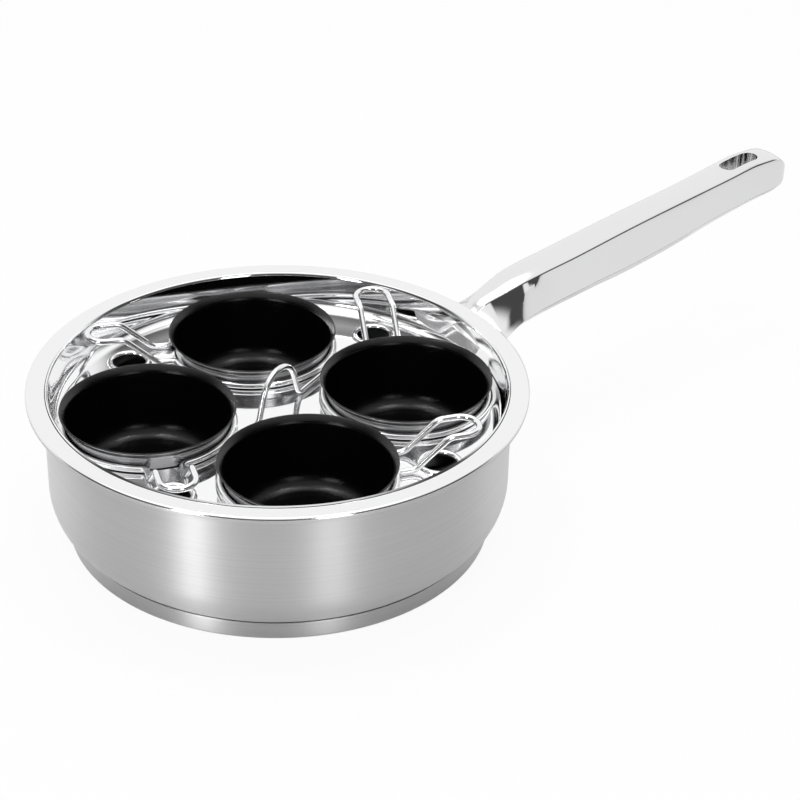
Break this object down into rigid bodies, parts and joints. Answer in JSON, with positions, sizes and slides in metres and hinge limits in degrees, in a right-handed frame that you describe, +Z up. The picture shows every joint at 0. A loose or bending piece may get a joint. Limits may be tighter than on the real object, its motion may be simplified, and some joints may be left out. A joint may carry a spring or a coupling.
{
  "type": "egg poacher pan",
  "caption": "Steel saute pan with a hollow hanging handle and a lift-out tray that holds round nonstick cups in looped wire holders, for poaching eggs in steam",
  "frame": {"origin": "centre of the base's underside, on the surface the pan stands on", "axes": "+X along the handle towards its tip, +Z up out of the pan, +Y to the left of the handle seen from the pan"},
  "size_m": [0.4329, 0.22, 0.0964],
  "materials": {
    "pan_steel": "brushed round the wall, brighter rim",
    "handle_steel": "fine satin",
    "tray_steel": "bright polish",
    "wire_steel": "bright polish",
    "cup_nonstick": "black nonstick coating inside and over the flared rim, satin steel outside",
    "core_aluminium": "plain, hidden inside the base"
  },
  "bodies": {
    "pan": {"pan_body": "pan_steel", "base_core": "core_aluminium", "base_cap": "pan_steel", "handle_upper": "handle_steel", "handle_lower": "handle_steel"},
    "tray": {"tray": "tray_steel", "tray_loop": "wire_steel"},
    "holder_1": {"holder_1": "wire_steel"},
    "holder_2": {"holder_2": "wire_steel"},
    "holder_3": {"holder_3": "wire_steel"},
    "holder_4": {"holder_4": "wire_steel"},
    "cup_1": {"cup_1": "cup_nonstick"},
    "cup_2": {"cup_2": "cup_nonstick"},
    "cup_3": {"cup_3": "cup_nonstick"},
    "cup_4": {"cup_4": "cup_nonstick"}
  },
  "joints": [
    {"name": "tray_lift", "type": "slide", "parent": "pan", "child": "tray", "axis": [0, 0, 1], "range_m": [0, 0.06]},
    {"name": "holder_1_lift", "type": "slide", "parent": "tray", "child": "holder_1", "axis": [0, 0, 1], "range_m": [0, 0.06]},
    {"name": "holder_2_lift", "type": "slide", "parent": "tray", "child": "holder_2", "axis": [0, 0, 1], "range_m": [0, 0.06]},
    {"name": "holder_3_lift", "type": "slide", "parent": "tray", "child": "holder_3", "axis": [0, 0, 1], "range_m": [0, 0.06]},
    {"name": "holder_4_lift", "type": "slide", "parent": "tray", "child": "holder_4", "axis": [0, 0, 1], "range_m": [0, 0.06]},
    {"name": "cup_1_lift", "type": "slide", "parent": "holder_1", "child": "cup_1", "axis": [0, 0, 1], "range_m": [0, 0.04]},
    {"name": "cup_2_lift", "type": "slide", "parent": "holder_2", "child": "cup_2", "axis": [0, 0, 1], "range_m": [0, 0.04]},
    {"name": "cup_3_lift", "type": "slide", "parent": "holder_3", "child": "cup_3", "axis": [0, 0, 1], "range_m": [0, 0.04]},
    {"name": "cup_4_lift", "type": "slide", "parent": "holder_4", "child": "cup_4", "axis": [0, 0, 1], "range_m": [0, 0.04]}
  ]
}
